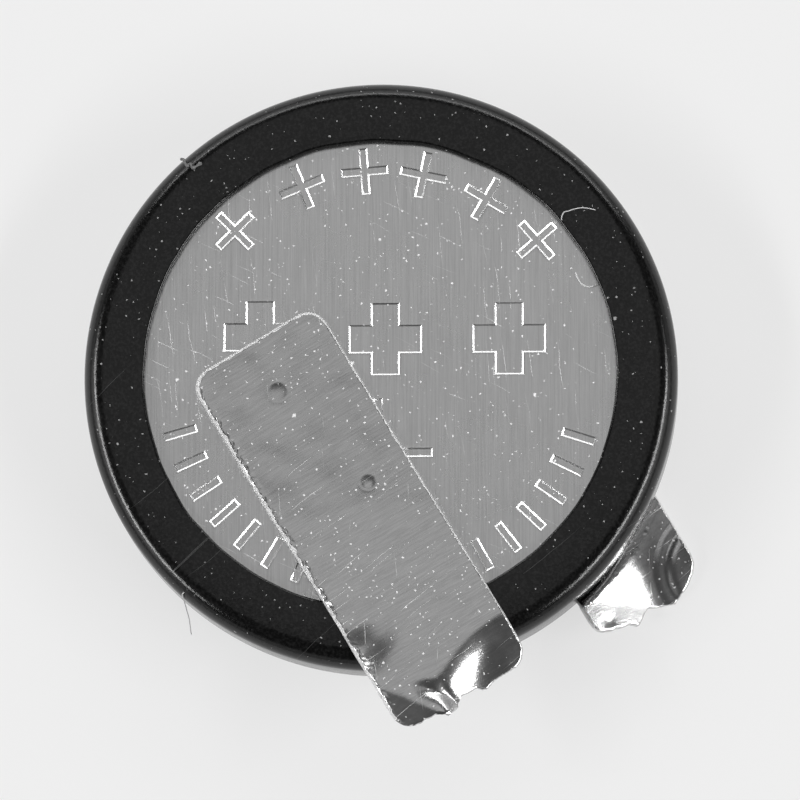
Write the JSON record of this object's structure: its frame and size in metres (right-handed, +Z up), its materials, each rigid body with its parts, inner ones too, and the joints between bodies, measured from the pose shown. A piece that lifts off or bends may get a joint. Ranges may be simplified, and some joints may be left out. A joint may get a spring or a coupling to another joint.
{
  "type": "lithium coin cell",
  "caption": "Flat round lithium cell in a black shrink-film sleeve, with welded metal strip tabs whose solder ends are torn off and crumpled.",
  "frame": {"origin": "under the middle of the part's box, on the surface that the part lies on, at the underside of the negative tab", "axes": "+Z up through the positive face, +X along the tabs towards their torn ends, +Y towards the negative tab's side"},
  "size_m": [0.0138, 0.0128, 0.0028],
  "materials": {
    "can_steel": "nickel-plated steel, finely brushed, with stamped marks and light scratches",
    "gasket_plastic": "natural polypropylene, translucent white",
    "cap_steel": "nickel-plated steel, satin",
    "lithium": "soft rolled lithium metal, dull silver",
    "separator_felt": "thin non-woven polypropylene",
    "pellet": "pressed black powder, matt",
    "grid_steel": "punched stainless steel grid",
    "sleeve_film": "black shrunk film, satin with a glossy shoulder, dusty",
    "tab_metal": "nickel-plated strip, grain across the strip, bright where it is creased"
  },
  "bodies": {
    "root": {"positive_can": "can_steel", "gasket": "gasket_plastic", "negative_cap": "cap_steel", "lithium_disc": "lithium", "separator": "separator_felt", "cathode_pellet": "pellet", "collector_grid": "grid_steel", "sleeve": "sleeve_film", "positive_tab": "tab_metal", "negative_tab": "tab_metal"}
  },
  "joints": []
}
